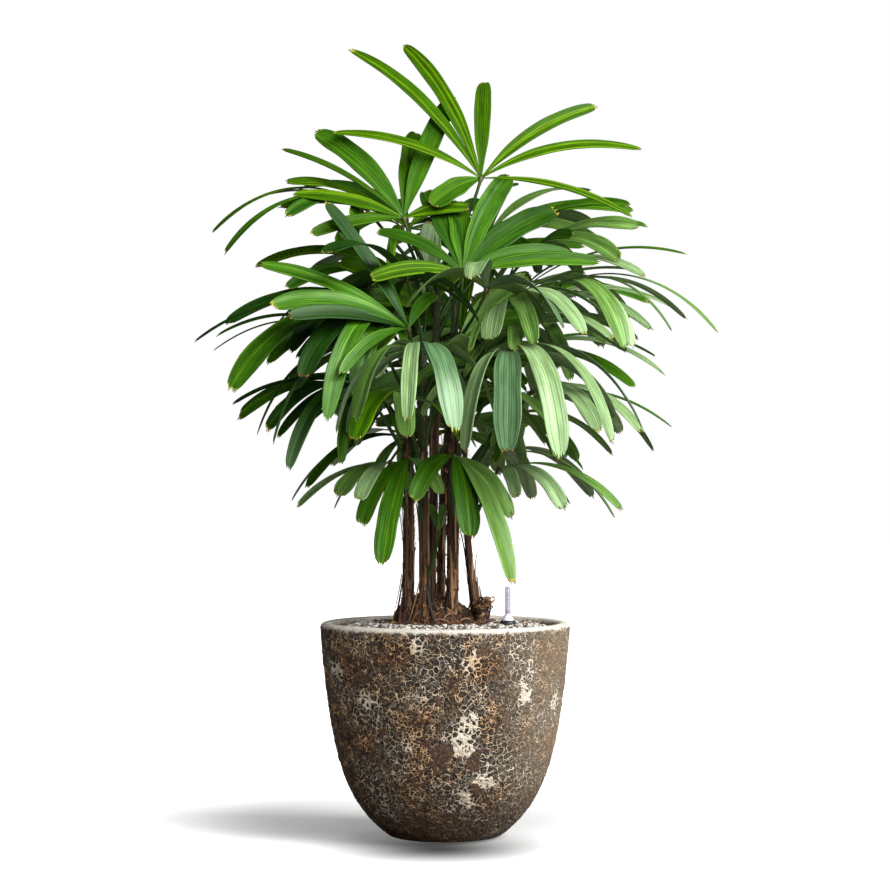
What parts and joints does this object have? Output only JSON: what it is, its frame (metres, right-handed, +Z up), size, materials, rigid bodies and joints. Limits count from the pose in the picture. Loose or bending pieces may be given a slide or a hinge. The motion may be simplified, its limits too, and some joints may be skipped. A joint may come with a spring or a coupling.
{
  "type": "potted lady palm",
  "caption": "Clumped lady palm with cane stems and fan fronds, planted in a round-bottomed crusted ceramic pot with granules and a water gauge.",
  "frame": {"origin": "centre of the pot's flat underside", "axes": "+Z up the plant, -Y to the front"},
  "size_m": [0.8414, 0.7763, 1.3046],
  "materials": {
    "pot": "rough crusted glaze",
    "granules": "matte mineral granules",
    "cane": "fibrous sheath",
    "root": "matted fibre",
    "leaf": "satin leaf",
    "gauge": "clear moulded plastic",
    "gauge_cap": "moulded plastic"
  },
  "bodies": {
    "root": {"pot": "pot", "granules": "granules", "root_mound": "root", "cane_1": "cane", "cane_2": "cane", "cane_3": "cane", "cane_4": "cane", "cane_5": "cane", "cane_6": "cane", "cane_7": "cane", "cane_8": "cane", "cane_stump": "cane", "gauge_cap": "gauge_cap", "gauge_tube": "gauge", "frond_01": "leaf", "frond_02": "leaf", "frond_03": "leaf", "frond_04": "leaf", "frond_05": "leaf", "frond_06": "leaf", "frond_07": "leaf", "frond_08": "leaf", "frond_09": "leaf", "frond_10": "leaf", "frond_11": "leaf", "frond_12": "leaf", "frond_13": "leaf", "frond_14": "leaf", "frond_15": "leaf", "frond_16": "leaf", "frond_17": "leaf", "frond_18": "leaf", "frond_19": "leaf", "frond_20": "leaf", "frond_21": "leaf", "frond_22": "leaf", "frond_23": "leaf", "frond_24": "leaf", "frond_25": "leaf", "frond_26": "leaf", "frond_27": "leaf", "frond_28": "leaf", "frond_29": "leaf", "frond_30": "leaf", "frond_31": "leaf", "frond_32": "leaf", "frond_33": "leaf", "frond_34": "leaf", "frond_35": "leaf", "frond_36": "leaf", "frond_37": "leaf", "frond_38": "leaf", "frond_39": "leaf", "frond_40": "leaf", "frond_41": "leaf", "frond_42": "leaf", "frond_43": "leaf", "frond_44": "leaf", "frond_45": "leaf", "frond_46": "leaf"}
  },
  "joints": []
}
